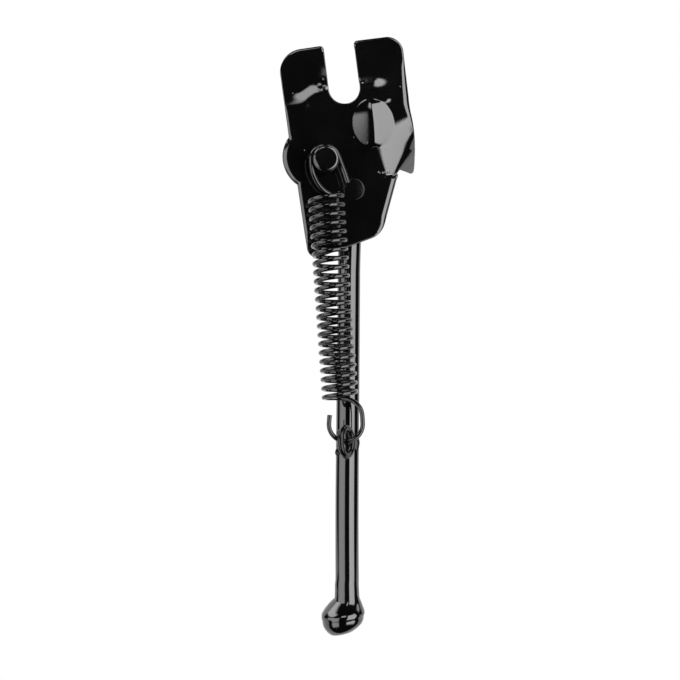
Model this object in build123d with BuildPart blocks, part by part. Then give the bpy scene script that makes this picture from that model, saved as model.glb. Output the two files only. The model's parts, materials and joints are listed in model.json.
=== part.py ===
# Bicycle kickstand for a small bicycle, clamped under the rear axle nut.
# Millimetres. Origin: centre of the axle slot's round end, on the back face of the bracket plate.
# +X is to the rear of the bicycle, +Y towards the bicycle, +Z up. The leg stands as it does in use.
import os
from math import atan2, cos, degrees, pi, radians, sin

from build123d import *

os.makedirs("parts", exist_ok=True)

# Bracket plate: u runs across the plate and v up it, both from the slot's round end
sheet = 3.0               # thickness of the pressed sheet
plate_turn = 7.5          # turn of the plate against the vertical, degrees
slot_width = 11.5         # takes a 10 mm axle
prong_top = 16.0          # height of the prongs above the slot's round end
plate_left = 20.95        # from the slot's middle to the left edge
plate_right = 22.6        # from the slot's middle to the right edge
prong_corner = 6.0        # outer corner radius of the prongs
slot_lip = 0.9            # small corner radius at the slot's mouth
lower_left = 19.6         # from the slot's middle to the left edge of the lower plate
lower_drop = 58.2         # from the slot's round end to the plate's lowest corner
bottom_rise = 12.6        # slope of the bottom edge, degrees
right_slope = 23.1        # slope of the lower right edge against v, degrees
right_reach = 6.8         # from the slot's middle to the lower right corner
lower_right_corner = 8.0
lower_left_corner = 3.5
lobe_radius = 11.25       # round lobe beside the spring stud
lobe_rise = 2.15          # the lobe's centre above the stud
lobe_left = 2.0           # the lobe's centre to the left of the stud
prong_lean = 6.0          # the prongs lean towards the bicycle, degrees
prong_bend = 1.6          # height of that bend above the slot's round end
prong_bend_radius = 12.0
edge_roll = 0.75          # rounded front edge of the plate, left by the press

# Curled ear at the right of the plate
ear_drop = 31.6           # from the slot's round end to the ear's lower edge
ear_slit = 0.3            # the sheared gap between the ear and the lower plate
ear_fold_u = 19.4         # a point on the fold line
ear_fold_v = -13.2
ear_fold_angle = 58.5     # fold line against u, degrees
ear_radius = 12.6         # radius of the curl at the front face
ear_curl = 80.0           # degrees of curl
ear_corner = 2.0

# Lens-shaped stiffening bead, raised to the front
bead_u = 7.6
bead_v = -14.8
bead_length = 15.6
bead_width = 12.6
bead_height = 2.2
bead_slope = 20.0         # slope of its flanks, degrees
bead_tilt = -6.0          # its length against v, degrees

# Pivot of the leg, below the slot
pivot_x = 3.7
pivot_z = -35.3
rivet_radius = 3.0
rivet_head_radius = 5.2
rivet_head_height = 1.0
rivet_tail_radius = 5.0
rivet_tail_height = 1.8
rivet_edge = 0.6          # rounding of the rivet's two heads
rivet_fit = 0.05          # radial clearance of the rivet in every hole
end_play = 0.1            # clearance on each side of the leg's head
washer_radius = 6.8
thrust_washer = 1.0
tail_washer = 1.2

# Leg
rod_radius = 4.0
head_radius = 7.2
head_thickness = 5.0
neck_length = 15.0        # flattened neck below the pivot
rod_start = 12.0          # from the pivot to the middle of the rod's round end
rod_gap = 0.6             # between the plate's back and the rod
leg_lean = 1.8            # the leg leans forwards, degrees
straight_top = 22.0       # from the pivot to the splay bend
splay = 10.0              # the leg splays away from the bicycle, degrees
splay_radius = 45.0
shank_length = 117.0      # below the splay bend, to the foot's middle

# Foot, upset from the rod's end
foot_radius = 7.6
foot_wall = 5.8           # height of the rim above the sole
foot_taper = 18.0         # the wall narrows towards the sole, degrees
foot_roll = 3.4           # rounding of the sole's edge
foot_flare = 10.0         # from the rim up to the plain rod
foot_waist_radius = 5.0   # of the flare's middle section
foot_waist = 3.0          # height of that section above the rim
foot_rim = 0.6            # rounding of the rim
foot_shift = -0.7         # the foot sits off the rod's axis, along X
foot_tilt_x = 11.0        # the sole rises to the rear, degrees
foot_tilt_y = 4.0         # the sole rises away from the bicycle, degrees

# Stop lip, folded back from the plate's lower left
lip_gap = 0.3             # between the lip and the standing leg
lip_length = 9.0
lip_depth = 8.0           # from the plate's front face to the lip's end
lip_bend = 3.6            # outer bend radius
lip_relief = 0.8          # relief at the lip's end

# Spring stud
stud_x = -7.3
stud_z = -26.1
stud_radius = 4.5
stud_neck_radius = 3.6    # bottom of the groove
stud_groove = 2.4         # width of the groove
stud_head = 2.6           # thickness of the head in front of the groove
stud_edge = 0.5           # rounding of its edges
stud_shank_radius = 3.0   # through the plate
stud_tail_radius = 4.2
stud_tail_height = 1.4

# Spring and its eye on the leg
spring_stand = 7.2        # from the plate's front face to the hook
wire_radius = 0.75
coil_radius = 5.6         # mean radius of the coil
coil_turns = 22.5
top_hook_radius = 5.4
top_hook_length = 17.3    # from the hook's top to the coil
tail_out = 2.6            # the upper hook's free end stands out this far
tail_length = 8.2
low_hook_radius = 5.8
low_hook_length = 14.4    # from the coil to the lower hook's bottom
low_hook_shift = 1.5      # the lower hook sits off the coil's axis
low_hook_sweep = 205.0    # degrees of the lower hook's ring
# The wire's way between coil and hook: left and front in coil radii, height in hook lengths
low_way = ((-1.25, -0.18, -0.31), (-0.70, -0.68, -0.09), (0, -0.96, -0.04))
top_way = (
    (-0.80, -0.60, 0.02),
    (-0.46, -0.80, 0.06),
    (0, -0.75, 0.14),
    (0.48, -0.50, 0.30),
    (0.78, -0.20, 0.50),
)
hook_gap = 0.3            # between a hook and what it pulls on
eye_drop = 59.6           # from the splay bend to the eye's middle, along the rod
eye_radius = 1.35         # of the eye's wire
eye_height = 8.4          # between the middles of its two legs
eye_reach = 11.4          # from the rod's axis to the middle of its outer bar
eye_corner = 2.6
eye_turn = 15.0           # the eye points this far forwards, degrees
eye_weld = 0.6            # its legs are welded in this deep
hook_out = 8.4            # from the rod's axis to the lower hook's wire
hook_side = 0.9           # the lower hook's middle to the rear of the eye

# Directions and planes that the pieces share
turn = radians(plate_turn)
across = Vector(cos(turn), 0, sin(turn))
upward = Vector(-sin(turn), 0, cos(turn))
outward = Vector(0, -1, 0)
plate_plane = Plane(origin=(0, 0, 0), x_dir=across, z_dir=outward)
slot_half = slot_width / 2
beyond = plate_left + plate_right + lower_drop
pivot_in_plate = plate_plane.to_local_coords(Vector(pivot_x, 0, pivot_z))
stud_in_plate = plate_plane.to_local_coords(Vector(stud_x, 0, stud_z))


def ring_plane(x, z, depth):
    """A plane that faces the front, at a point and a distance behind the plate's back face."""
    return Plane(origin=(x, depth, z), x_dir=(1, 0, 0), z_dir=outward)


# Corner points of the lower plate, from its slopes
bottom_fall = sin(radians(bottom_rise)) / cos(radians(bottom_rise))
bottom_right_v = -lower_drop + (right_reach + lower_left) * bottom_fall
low_right = Vector(right_reach, bottom_right_v)
right_run = (-ear_drop - bottom_right_v) * sin(radians(right_slope)) / cos(radians(right_slope))
fold_along = Vector(-cos(radians(ear_fold_angle)), -sin(radians(ear_fold_angle)))
fold_out = Vector(sin(radians(ear_fold_angle)), -cos(radians(ear_fold_angle)))
fold_point = Vector(ear_fold_u, ear_fold_v)


def on_fold(v):
    """The point of the ear's fold line at a height on the plate."""
    return fold_point + fold_along * ((v - ear_fold_v) / fold_along.Y)


slit_low = -ear_drop - ear_slit

# Plate outline without the ear's relief
with BuildSketch(plate_plane.offset(-beyond)) as outline:
    with BuildLine():
        Polyline(
            (-slot_half, prong_top),
            (-slot_half, 0),
        )
        ThreePointArc((-slot_half, 0), (0, -slot_half), (slot_half, 0))
        Polyline(
            (slot_half, 0),
            (slot_half, prong_top),
            (plate_right, prong_top),
            (plate_right, -ear_drop),
            (right_reach + right_run, -ear_drop),
            low_right,
            (-lower_left, -lower_drop),
            (-lower_left, stud_in_plate.Y),
            (-plate_left, stud_in_plate.Y + lobe_radius),
            (-plate_left, prong_top),
            (-slot_half, prong_top),
        )
    make_face()
    top_corners = outline.vertices().group_by(Axis.Y)[-1].sort_by(Axis.X)
    fillet((top_corners[0], top_corners[-1]), radius=prong_corner)
    fillet(outline.vertices().group_by(Axis.Y)[-1].sort_by(Axis.X)[1:3], radius=slot_lip)
    fillet(outline.vertices().sort_by(Axis.Y)[0], radius=lower_left_corner)
    fillet(outline.vertices().sort_by_distance(low_right)[0], radius=lower_right_corner)
    with Locations((stud_in_plate.X - lobe_left, stud_in_plate.Y + lobe_rise)):
        Circle(lobe_radius)

# Section of the bent sheet, drawn across the plate: v to the right, the front upwards
section_plane = Plane(origin=(0, 0, 0), x_dir=upward, z_dir=across)
with BuildPart() as plate:
    with BuildSketch(section_plane.offset(-beyond)):
        with BuildLine():
            back_flat = Line((-beyond, 0), (prong_bend, 0))
            back_bend = JernArc(back_flat @ 1, (1, 0), prong_bend_radius, -prong_lean)
            back_prong = Line(back_bend @ 1, back_bend @ 1 + (back_bend % 1) * beyond)
            front_flat = Line((-beyond, sheet), (prong_bend, sheet))
            front_bend = JernArc(front_flat @ 1, (1, 0), prong_bend_radius + sheet, -prong_lean)
            front_prong = Line(front_bend @ 1, front_bend @ 1 + (front_bend % 1) * beyond)
            Line(back_flat @ 0, front_flat @ 0)
            Line(back_prong @ 1, front_prong @ 1)
        make_face()
    extrude(amount=2 * beyond)
    extrude(outline.sketch, amount=2 * beyond, mode=Mode.INTERSECT)
    # The ear's corner and its relief are taken away before the curl is added
    with BuildSketch(plate_plane.offset(-beyond)):
        with BuildLine():
            Polyline(
                on_fold(prong_bend),
                on_fold(slit_low),
                (beyond, slit_low),
                (beyond, prong_bend),
                close=True,
            )
        make_face()
    extrude(amount=2 * beyond, mode=Mode.SUBTRACT)


# The curl of the ear: a ring section, drawn across the fold line and trimmed to the plate's outline
fold_plane = Plane(
    origin=plate_plane.from_local_coords(fold_point),
    x_dir=across * fold_out.X + upward * fold_out.Y,
    z_dir=across * fold_along.X + upward * fold_along.Y,
)
curl_centre = (0, sheet - ear_radius)
with BuildPart() as ear:
    with BuildSketch(fold_plane):
        with BuildLine():
            front_curl = CenterArc(curl_centre, ear_radius, 90, -ear_curl)
            back_curl = CenterArc(curl_centre, ear_radius - sheet, 90, -ear_curl)
            Line(front_curl @ 0, back_curl @ 0)
            Line(front_curl @ 1, back_curl @ 1)
        make_face()
    extrude(amount=beyond, both=True)
    with BuildSketch(plate_plane.offset(-beyond)) as ear_outline:
        with Locations((plate_right, -ear_drop)):
            Rectangle(beyond, beyond, align=(Align.MAX, Align.MIN))
        fillet(ear_outline.vertices().group_by(Axis.Y)[0].sort_by(Axis.X)[-1], radius=ear_corner)
    extrude(amount=2 * beyond, mode=Mode.INTERSECT)

# The leg's own direction, its plane across the pivot, and the path of its rod
leg_angle = radians(leg_lean)
leg_down = Vector(-sin(leg_angle), 0, -cos(leg_angle))
leg_right = Vector(cos(leg_angle), 0, -sin(leg_angle))
rod_depth = rod_gap + rod_radius
leg_plane = Plane(origin=(pivot_x, 0, pivot_z), x_dir=leg_right, z_dir=outward)
rod_plane = Plane(origin=(pivot_x, rod_depth, pivot_z), x_dir=leg_down, z_dir=leg_down.cross(outward))

# Stop lip: the sheet folded back along the bottom edge, ending beside the standing leg
edge_along = Vector(cos(radians(bottom_rise)), sin(radians(bottom_rise)))
edge_out = Vector(sin(radians(bottom_rise)), -cos(radians(bottom_rise)))
down_in_plate = Vector(leg_down.dot(across), leg_down.dot(upward))
leg_run = (low_right - pivot_in_plate).dot(edge_out) / down_in_plate.dot(edge_out)
leg_foot_on_edge = pivot_in_plate + down_in_plate * leg_run
lip_reach = rod_radius + lip_gap + lip_length
lip_plane = Plane(
    origin=plate_plane.from_local_coords(leg_foot_on_edge),
    x_dir=across * edge_out.X + upward * edge_out.Y,
    z_dir=-(across * edge_along.X + upward * edge_along.Y),
)
lip_inner = lip_bend - sheet
with BuildPart() as lip:
    with BuildSketch(lip_plane):
        with BuildLine():
            Polyline(
                (-lip_bend, 0),
                (-lip_bend, sheet),
            )
            ThreePointArc(
                (-lip_bend, sheet),
                (-lip_bend + lip_bend * sin(radians(45)), sheet - lip_bend + lip_bend * cos(radians(45))),
                (0, sheet - lip_bend),
            )
            Polyline(
                (0, sheet - lip_bend),
                (0, sheet - lip_depth),
                (-sheet, sheet - lip_depth),
                (-sheet, -lip_inner),
            )
            ThreePointArc(
                (-sheet, -lip_inner),
                (-lip_bend + lip_inner * sin(radians(45)), lip_inner * cos(radians(45)) - lip_inner),
                (-lip_bend, 0),
            )
        make_face()
    extrude(amount=lip_reach)
    with BuildSketch(leg_plane.offset(-beyond)):
        Rectangle(2 * (rod_radius + lip_gap), 2 * beyond)
    extrude(amount=2 * beyond, mode=Mode.SUBTRACT)


def beside_fold(edge):
    """Whether an edge lies on the ear's fold line or its relief, which stay square."""
    place = plate_plane.to_local_coords(edge.center())
    off_fold = (Vector(place.X, place.Y) - fold_point).dot(fold_out)
    return off_fold > -small and slit_low - small < place.Y < prong_bend


# The plate: front edges rounded, curled ear and lip joined on, then bead and holes
small = 0.01
with BuildPart() as bracket:
    add(plate.part)
    walls = bracket.faces().filter_by(lambda face: abs(face.normal_at().Y) < small)
    fronts = bracket.faces().filter_by(lambda face: face.normal_at().Y < -small)
    rolled = ShapeList(set(walls.edges()) & set(fronts.edges()))
    fillet(rolled.filter_by(lambda edge: not beside_fold(edge)), radius=edge_roll)
    add(ear.part)
    # Room for the lip's bend, with a relief at each end
    with BuildSketch(lip_plane):
        with BuildLine():
            Polyline(
                (-lip_bend, -beyond),
                (-lip_bend, beyond),
                (beyond, beyond),
                (beyond, -beyond),
                close=True,
            )
        make_face()
    extrude(amount=lip_reach + lip_relief, mode=Mode.SUBTRACT)
    add(lip.part)
    for face_height, way in ((sheet, Mode.ADD), (0, Mode.SUBTRACT)):
        with BuildSketch(Plane(
            origin=plate_plane.from_local_coords((bead_u, bead_v, face_height)),
            x_dir=across * cos(radians(bead_tilt)) + upward * sin(radians(bead_tilt)),
            z_dir=outward,
        )):
            with BuildLine():
                ThreePointArc((0, -bead_length / 2), (bead_width / 2, 0), (0, bead_length / 2))
                ThreePointArc((0, bead_length / 2), (-bead_width / 2, 0), (0, -bead_length / 2))
            make_face()
        extrude(amount=bead_height, taper=90 - bead_slope, mode=way)
    with BuildSketch(plate_plane.offset(-beyond)):
        with Locations(pivot_in_plate):
            Circle(rivet_radius + rivet_fit)
        with Locations(stud_in_plate):
            Circle(stud_shank_radius + rivet_fit)
    extrude(amount=2 * beyond, mode=Mode.SUBTRACT)
bracket.part.label = "bracket_plate"
export_step(bracket.part, "parts/bracket_plate.step")

# Washer between the plate and the leg's head
with BuildPart() as front_ring:
    with BuildSketch(ring_plane(pivot_x, pivot_z, thrust_washer)):
        Circle(washer_radius)
        Circle(rivet_radius + rivet_fit, mode=Mode.SUBTRACT)
    extrude(amount=thrust_washer)
front_ring.part.label = "thrust_washer"
export_step(front_ring.part, "parts/thrust_washer.step")

# Washer behind the leg's head, under the rivet's closed end
head_back = thrust_washer + end_play + head_thickness
tail_seat = head_back + end_play + tail_washer
with BuildPart() as back_ring:
    with BuildSketch(ring_plane(pivot_x, pivot_z, tail_seat)):
        Circle(washer_radius)
        Circle(rivet_radius + rivet_fit, mode=Mode.SUBTRACT)
    extrude(amount=tail_washer)
back_ring.part.label = "tail_washer"
export_step(back_ring.part, "parts/tail_washer.step")

# Pivot rivet: closed end, shank and the low head on the plate's front
with BuildPart() as rivet:
    with BuildSketch(ring_plane(pivot_x, pivot_z, tail_seat + rivet_tail_height)):
        Circle(rivet_tail_radius)
    extrude(amount=rivet_tail_height)
    with BuildSketch(ring_plane(pivot_x, pivot_z, tail_seat)):
        Circle(rivet_radius)
    extrude(amount=tail_seat + sheet)
    with BuildSketch(ring_plane(pivot_x, pivot_z, -sheet)):
        Circle(rivet_head_radius)
    extrude(amount=rivet_head_height)
    rivet_ends = rivet.faces().sort_by(Axis.Y)
    fillet((rivet_ends[0].edges()[0], rivet_ends[-1].edges()[0]), radius=rivet_edge)
rivet.part.label = "pivot_rivet"
export_step(rivet.part, "parts/pivot_rivet.step")

# Spring stud: closed end behind the plate, shank, base, groove and head
groove_back = -sheet - spring_stand + stud_groove / 2
groove_front = groove_back - stud_groove
with BuildPart() as stud:
    with BuildSketch(ring_plane(stud_x, stud_z, stud_tail_height)):
        Circle(stud_tail_radius)
    extrude(amount=stud_tail_height)
    with BuildSketch(ring_plane(stud_x, stud_z, 0)):
        Circle(stud_shank_radius)
    extrude(amount=sheet)
    with BuildSketch(ring_plane(stud_x, stud_z, -sheet)):
        Circle(stud_radius)
    extrude(amount=-sheet - groove_back)
    with BuildSketch(ring_plane(stud_x, stud_z, groove_back)):
        Circle(stud_neck_radius)
    extrude(amount=stud_groove)
    with BuildSketch(ring_plane(stud_x, stud_z, groove_front)):
        Circle(stud_radius)
    extrude(amount=stud_head)
    stud_ends = stud.faces().sort_by(Axis.Y)
    fillet((stud_ends[0].edges()[0], stud_ends[-1].edges()[0]), radius=stud_edge)
stud.part.label = "spring_stud"
export_step(stud.part, "parts/spring_stud.step")

# Path of the rod: straight behind the plate, then splayed
splay_angle = radians(splay)
bend_middle = (
    straight_top + splay_radius * sin(splay_angle / 2),
    splay_radius - splay_radius * cos(splay_angle / 2),
)
bend_end = Vector(
    straight_top + splay_radius * sin(splay_angle),
    splay_radius - splay_radius * cos(splay_angle),
)
shank_way = Vector(cos(splay_angle), sin(splay_angle))
rod_top = rod_plane.from_local_coords((rod_start, 0))
bend_top = rod_plane.from_local_coords((straight_top, 0))
bend_mid = rod_plane.from_local_coords(bend_middle)
bend_low = rod_plane.from_local_coords(bend_end)
rod_end = rod_plane.from_local_coords(bend_end + shank_way * shank_length)
shank_dir = leg_down * cos(splay_angle) + outward * sin(splay_angle)
shank_out = outward * cos(splay_angle) - leg_down * sin(splay_angle)

# The foot's own direction and the middle of its rim
foot_up = Vector(
    -sin(radians(foot_tilt_x)),
    sin(radians(foot_tilt_y)),
    cos(radians(foot_tilt_x)),
).normalized()
rim_middle = rod_end + Vector(foot_shift, 0, 0)
waist_up = (foot_up - shank_dir).normalized()
waist_middle = (rim_middle + foot_up * foot_waist + rod_end - shank_dir * foot_waist) * 0.5

# The leg: flat head, rod and foot
with BuildPart() as leg:
    with BuildSketch(leg_plane.offset(-head_back)):
        Circle(head_radius)
        with Locations((0, -neck_length)):
            Circle(rod_radius)
        make_hull()
        Circle(rivet_radius + rivet_fit, mode=Mode.SUBTRACT)
    extrude(amount=head_thickness)
    with Locations(rod_top):
        Sphere(rod_radius)
    with BuildLine() as rod_path:
        Line(rod_top, bend_top)
        ThreePointArc(bend_top, bend_mid, bend_low)
        Line(bend_low, rod_end)
    with BuildSketch(Plane(origin=rod_top, z_dir=leg_down)):
        Circle(rod_radius)
    sweep(path=rod_path.line)
    with BuildSketch(Plane(origin=rim_middle, x_dir=(1, 0, 0), z_dir=foot_up)):
        Circle(foot_radius)
    with BuildSketch(Plane(origin=waist_middle, x_dir=(1, 0, 0), z_dir=waist_up)):
        Circle(foot_waist_radius)
    with BuildSketch(Plane(origin=rod_end - shank_dir * foot_flare, x_dir=(1, 0, 0), z_dir=-shank_dir)):
        Circle(rod_radius)
    loft()
    with BuildSketch(Plane(origin=rim_middle, x_dir=(1, 0, 0), z_dir=-foot_up)):
        Circle(foot_radius)
    extrude(amount=foot_wall, taper=foot_taper)
    fillet(leg.faces().sort_by(Axis.Z)[0].edges(), radius=foot_roll)
    fillet(leg.edges().sort_by_distance(rim_middle + Vector(0, -foot_radius, 0))[0], radius=foot_rim)
leg.part.label = "leg"
export_step(leg.part, "parts/leg.step")

# Spring eye: a wire staple welded to the front of the rod
eye_root = bend_low + shank_dir * eye_drop
eye_out = shank_out * cos(radians(eye_turn)) - leg_right * sin(radians(eye_turn))
eye_plane = Plane(origin=eye_root, x_dir=eye_out, z_dir=shank_dir.cross(eye_out))
with BuildPart() as staple:
    with BuildLine(eye_plane) as staple_path:
        FilletPolyline(
            (rod_radius - eye_weld, eye_height / 2),
            (eye_reach, eye_height / 2),
            (eye_reach, -eye_height / 2),
            (rod_radius - eye_weld, -eye_height / 2),
            radius=eye_corner,
        )
    with BuildSketch(Plane(origin=staple_path.line @ 0, z_dir=staple_path.line % 0)):
        Circle(eye_radius)
    sweep(path=staple_path.line)
staple.part.label = "spring_eye"
export_step(staple.part, "parts/spring_eye.step")

# The spring runs from the eye up to the stud's groove
hook_rise = eye_height / 2 - eye_radius - wire_radius - hook_gap
hook_point = eye_plane.from_local_coords((hook_out, hook_rise))
low_point = hook_point + leg_right * (hook_side - low_hook_shift)
stud_point = Vector(stud_x, -sheet - spring_stand, stud_z)
spring_up = (stud_point - low_point).normalized()
top_point = stud_point + spring_up * (stud_neck_radius + wire_radius + hook_gap)
coil_bottom = low_point + spring_up * low_hook_length
coil_height = (top_point - coil_bottom).length - top_hook_length
coil_pitch = coil_height / coil_turns
spring_plane = Plane(origin=coil_bottom, x_dir=-leg_right, z_dir=spring_up)


def low_ring(angle):
    """A point of the lower hook's ring: 0 at its right, 90 at its bottom, 180 at its left."""
    turned = radians(angle)
    return Vector(
        -low_hook_shift - low_hook_radius * cos(turned),
        0,
        low_hook_radius - low_hook_length - low_hook_radius * sin(turned),
    )


def top_ring(angle):
    """A point of the upper hook: 0 at its left, 90 at its top, 180 at its right."""
    turned = radians(angle)
    return Vector(
        top_hook_radius * cos(turned),
        0,
        coil_height + top_hook_length - top_hook_radius + top_hook_radius * sin(turned),
    )


def on_way(shares, coil_end, hook_length):
    """Points of the wire between one end of the coil and its hook."""
    return [
        (left * coil_radius, ahead * coil_radius, coil_end + rise * hook_length)
        for left, ahead, rise in shares
    ]


# One wire: lower ring, rise behind the coil, coil, rise to the upper hook, its free end.
# Drawn with x to the left, y to the front and z up the coil
coil_way = Vector(0, 2 * pi * coil_radius, coil_pitch).normalized()
coil_away = Vector(0, -2 * pi * coil_radius, coil_pitch).normalized()
tail_lean = degrees(atan2(tail_out, tail_length))
tail_way = Vector(-tail_out, 0, -tail_length)
up = Vector(0, 0, 1)
with BuildPart() as wound:
    with BuildLine() as wire:
        ThreePointArc(low_ring(low_hook_sweep), low_ring(low_hook_sweep / 2), low_ring(0))
        Spline(
            low_ring(0),
            *on_way(low_way, 0, low_hook_length),
            (coil_radius, 0, 0),
            tangents=(up, coil_way),
        )
        Helix(pitch=coil_pitch, height=coil_height, radius=coil_radius)
        Spline(
            (-coil_radius, 0, coil_height),
            *on_way(top_way, coil_height, top_hook_length),
            top_ring(0),
            tangents=(coil_away, up),
        )
        ThreePointArc(top_ring(0), top_ring(90), top_ring(180 - tail_lean))
        Line(top_ring(180 - tail_lean), top_ring(180 - tail_lean) + tail_way)
    with BuildSketch(Plane(origin=wire.line @ 0, z_dir=wire.line % 0)):
        Circle(wire_radius)
    sweep(path=wire.line)
with BuildPart() as spring:
    add(wound.part.moved(Location(spring_plane)))
spring.part.label = "spring"
export_step(spring.part, "parts/spring.step")
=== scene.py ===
import bpy
import bmesh
import json
from math import acos, atan2, cos, hypot, pi, radians, sin, tan
import numpy as np
from mathutils import Matrix, Vector
from mathutils.geometry import delaunay_2d_cdt


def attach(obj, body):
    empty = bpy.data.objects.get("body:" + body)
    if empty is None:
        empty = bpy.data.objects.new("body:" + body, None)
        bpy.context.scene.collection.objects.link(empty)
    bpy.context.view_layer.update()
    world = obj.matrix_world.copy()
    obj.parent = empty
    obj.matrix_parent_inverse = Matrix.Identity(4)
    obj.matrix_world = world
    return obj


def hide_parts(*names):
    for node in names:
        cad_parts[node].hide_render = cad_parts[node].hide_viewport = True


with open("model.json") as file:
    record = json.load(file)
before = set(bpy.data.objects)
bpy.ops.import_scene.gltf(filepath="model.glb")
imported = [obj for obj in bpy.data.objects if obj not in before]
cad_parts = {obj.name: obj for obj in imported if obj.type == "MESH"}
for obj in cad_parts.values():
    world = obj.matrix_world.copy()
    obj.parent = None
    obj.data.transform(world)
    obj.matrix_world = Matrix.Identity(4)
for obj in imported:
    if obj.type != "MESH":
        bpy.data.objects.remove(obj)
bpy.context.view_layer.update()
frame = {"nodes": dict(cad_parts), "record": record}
mm = 0.001
joints = {joint["name"]: joint for joint in frame["record"]["behaviour"]["joints"]}
pivot = Vector(joints["leg_swing"]["pos_m"]) / mm          # the leg's rivet, on the plate's back
studAt = Vector(joints["spring_swing"]["pos_m"]) / mm      # where the spring's hook sits on its stud
print("frame loaded:", sorted(frame["nodes"]))


view = {
    "azimuth": -7.0,      # degrees, as the photo sees it
    "distance": 480.0,
    "target": (-1.26, -3.0, -87.78),
    "lens": 73.06, "sensor": 36.0, "clip": 10.0,
}
camBack = Vector((sin(radians(view["azimuth"])), -cos(radians(view["azimuth"])), 0))
camRight = Vector((cos(radians(view["azimuth"])), sin(radians(view["azimuth"])), 0))
camData = bpy.data.cameras.new("camera")
camData.lens = view["lens"]
camData.sensor_width = view["sensor"]
camData.sensor_fit = "HORIZONTAL"
camData.clip_start = view["clip"] * mm
camObj = bpy.data.objects.new("camera", camData)
bpy.context.scene.collection.objects.link(camObj)
camObj.location = Vector(view["target"]) * mm + camBack * view["distance"] * mm
camObj.rotation_euler = (radians(90), 0, radians(view["azimuth"]))
bpy.context.scene.camera = camObj
bpy.context.scene.view_settings.view_transform = "Standard"


studio = {
    "front": 0.008,       # dark room behind the camera
    "floorZ": -225.0, "floorSide": 2.0, "floorFront": -0.012, "floorBack": 3.0,
    "floorColor": (0.95, 0.95, 0.95), "floorRough": 0.9, "floorGlow": 0.92,
    # a box: brightness; degrees round from the camera; degrees above level, each angle with its share
    "boxes": (
        # left
        (2.4, ((-93, 0), (-86, 0.75), (-60, 1), (-26, 0.9), (-20, 0)),
         ((-22, 0), (-10, 1), (18, 1), (25, 0))),
        # under the left one
        (2.4, ((-70, 0), (-60, 1), (-26, 0.9), (-20, 0)),
         ((-46, 0), (-36, 1), (-22, 1), (-10, 0))),
        # right
        (4.4, ((20, 0), (26, 1), (60, 0.9), (71, 0.85), (76, 0)),
         ((-38, 0), (-28, 1), (46, 1), (56, 0))),
        # overhead, in three pieces
        (3.5, ((-130, 0), (-118, 1), (-75, 1), (-62, 0), (-22, 0), (-16, 1), (6, 1), (12, 0),
               (95, 0), (104, 0.7), (118, 0.7), (130, 0)),
         ((31, 0), (38, 1), (58, 1), (66, 0))),
        # white sweep behind the object
        (1.0, ((-180, 1), (-124, 1), (-116, 0), (116, 0), (124, 1), (180, 1)),
         ((-65, 0), (-50, 1), (55, 1), (68, 0))),
    ),
}


def feed(tree, node, sockets):
    # each socket gets a fixed value, or a link from another node's output
    for key, value in sockets.items():
        if isinstance(value, bpy.types.NodeSocket):
            tree.links.new(value, node.inputs[key])
        else:
            node.inputs[key].default_value = value


def addNode(tree, kind, x, y, sockets=None, **settings):
    node = tree.nodes.new(kind)
    node.location = (x, y)
    for key, value in settings.items():
        setattr(node, key, value)
    feed(tree, node, sockets or {})
    return node


def fillRamp(node, stops):
    ramp = node.color_ramp
    ramp.elements.remove(ramp.elements[1])
    ramp.elements[0].position = stops[0][0]
    ramp.elements[0].color = (*[stops[0][1]] * 3, 1)
    for place, level in stops[1:]:
        ramp.elements.new(place).color = (level, level, level, 1)


def makeWorld():
    world = bpy.data.worlds.new("studio")
    world.use_nodes = True
    bpy.context.scene.world = world
    tree = world.node_tree
    tree.nodes.clear()
    way = addNode(tree, "ShaderNodeTexCoord", -1100, 0).outputs["Generated"]
    sides = {}
    for k, axis in enumerate((camRight, camBack)):
        pair = {0: way, 1: axis}
        side = addNode(tree, "ShaderNodeVectorMath", -900, 200 - 200 * k, pair, operation="DOT_PRODUCT")
        sides[k] = side.outputs["Value"]
    angle = addNode(tree, "ShaderNodeMath", -700, 100, sides, operation="ARCTAN2")
    around = addNode(tree, "ShaderNodeMapRange", -520, 100, {
        "Value": angle.outputs[0], "From Min": -pi, "From Max": pi,
    })
    split = addNode(tree, "ShaderNodeSeparateXYZ", -900, -250, {0: way})
    above = addNode(tree, "ShaderNodeMapRange", -520, -250, {"Value": split.outputs["Z"], "From Min": -1})
    total = studio["front"]
    for k, (level, turns, rises) in enumerate(studio["boxes"]):
        y = 600 - 350 * k
        turnRamp = addNode(tree, "ShaderNodeValToRGB", -300, y, {0: around.outputs[0]})
        fillRamp(turnRamp, [((turn + 180) / 360, share) for turn, share in turns])
        riseRamp = addNode(tree, "ShaderNodeValToRGB", -300, y - 170, {0: above.outputs[0]})
        fillRamp(riseRamp, [((sin(radians(rise)) + 1) / 2, share) for rise, share in rises])
        ramps = {0: turnRamp.outputs["Color"], 1: riseRamp.outputs["Color"]}
        shape = addNode(tree, "ShaderNodeMath", 0, y, ramps, operation="MULTIPLY")
        lit = {0: shape.outputs[0], 1: level, 2: total}
        total = addNode(tree, "ShaderNodeMath", 180, y, lit, operation="MULTIPLY_ADD").outputs[0]
    boxes = addNode(tree, "ShaderNodeBackground", 400, 50, {"Color": total})
    white = addNode(tree, "ShaderNodeBackground", 400, -120, {"Color": (1, 1, 1, 1)})
    path = addNode(tree, "ShaderNodeLightPath", 400, 400)
    pick = addNode(tree, "ShaderNodeMixShader", 650, 50, {
        0: path.outputs["Is Camera Ray"], 1: boxes.outputs[0], 2: white.outputs[0],
    })
    addNode(tree, "ShaderNodeOutputWorld", 900, 0, {"Surface": pick.outputs[0]})


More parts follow.
